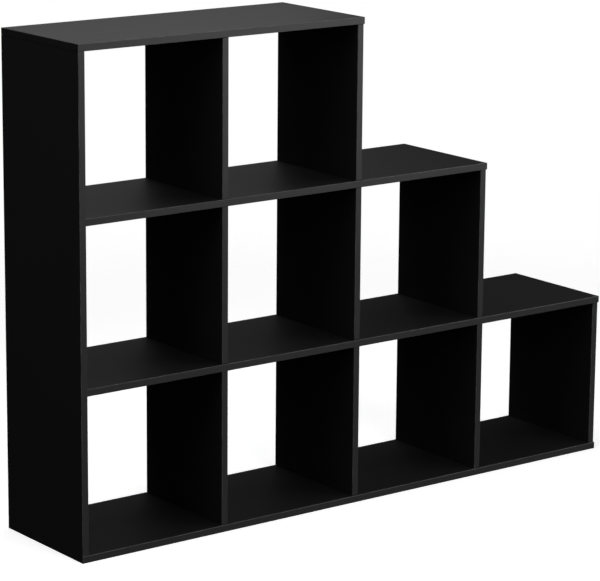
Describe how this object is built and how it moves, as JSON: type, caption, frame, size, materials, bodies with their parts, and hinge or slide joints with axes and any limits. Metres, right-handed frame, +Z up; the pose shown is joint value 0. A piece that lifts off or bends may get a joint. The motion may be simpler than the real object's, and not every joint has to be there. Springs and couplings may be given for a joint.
{
  "type": "staircase bookshelf",
  "caption": "Stepped open-backed bookshelf of black boards: square compartments in rows that get shorter towards the top, joined with dowels and cam locks.",
  "frame": {"origin": "middle of the underside of the bottom panel, on the floor", "axes": "+X along the unit, from the tall end towards the low end; +Y from the front to the rear; +Z up"},
  "size_m": [1.4194, 0.29, 1.068],
  "materials": {
    "board": "satin black melamine-faced board",
    "cam_lock": "bare die-cast zinc",
    "cam_bolt": "zinc-plated steel"
  },
  "bodies": {
    "root": {"left_side": "board", "bottom_panel": "board", "lower_shelf": "board", "upper_shelf": "board", "top_panel": "board", "bottom_row_divider_1": "board", "bottom_row_divider_2": "board", "bottom_row_divider_3": "board", "bottom_row_end": "board", "middle_row_divider_1": "board", "middle_row_divider_2": "board", "middle_row_end": "board", "top_row_divider_1": "board", "top_row_end": "board", "cam_lock_left_side_lower": "cam_lock", "cam_lock_left_side_upper": "cam_lock", "cam_lock_bottom_row_divider_1_lower": "cam_lock", "cam_lock_bottom_row_divider_1_upper": "cam_lock", "cam_lock_bottom_row_divider_2_lower": "cam_lock", "cam_lock_bottom_row_divider_2_upper": "cam_lock", "cam_lock_bottom_row_divider_3_lower": "cam_lock", "cam_lock_bottom_row_divider_3_upper": "cam_lock", "cam_lock_bottom_row_end_lower": "cam_lock", "cam_lock_bottom_row_end_upper": "cam_lock", "cam_lock_middle_row_divider_1_lower": "cam_lock", "cam_lock_middle_row_divider_1_upper": "cam_lock", "cam_lock_middle_row_divider_2_lower": "cam_lock", "cam_lock_middle_row_divider_2_upper": "cam_lock", "cam_lock_middle_row_end_lower": "cam_lock", "cam_lock_middle_row_end_upper": "cam_lock", "cam_lock_top_row_divider_1_lower": "cam_lock", "cam_lock_top_row_divider_1_upper": "cam_lock", "cam_lock_top_row_end_lower": "cam_lock", "cam_lock_top_row_end_upper": "cam_lock", "cam_lock_lower_shelf_left": "cam_lock", "cam_lock_upper_shelf_left": "cam_lock", "cam_bolt_left_side_lower_shelf": "cam_bolt", "cam_bolt_left_side_upper_shelf": "cam_bolt", "cam_bolt_bottom_panel_0": "cam_bolt", "cam_bolt_bottom_panel_1": "cam_bolt", "cam_bolt_bottom_panel_2": "cam_bolt", "cam_bolt_bottom_panel_3": "cam_bolt", "cam_bolt_bottom_panel_4": "cam_bolt", "cam_bolt_lower_shelf_1": "cam_bolt", "cam_bolt_lower_shelf_2": "cam_bolt", "cam_bolt_lower_shelf_3": "cam_bolt", "cam_bolt_lower_shelf_4": "cam_bolt", "cam_bolt_upper_shelf_1": "cam_bolt", "cam_bolt_upper_shelf_2": "cam_bolt", "cam_bolt_upper_shelf_3": "cam_bolt", "cam_bolt_top_panel_0": "cam_bolt", "cam_bolt_top_panel_1": "cam_bolt", "cam_bolt_top_panel_2": "cam_bolt"}
  },
  "joints": []
}
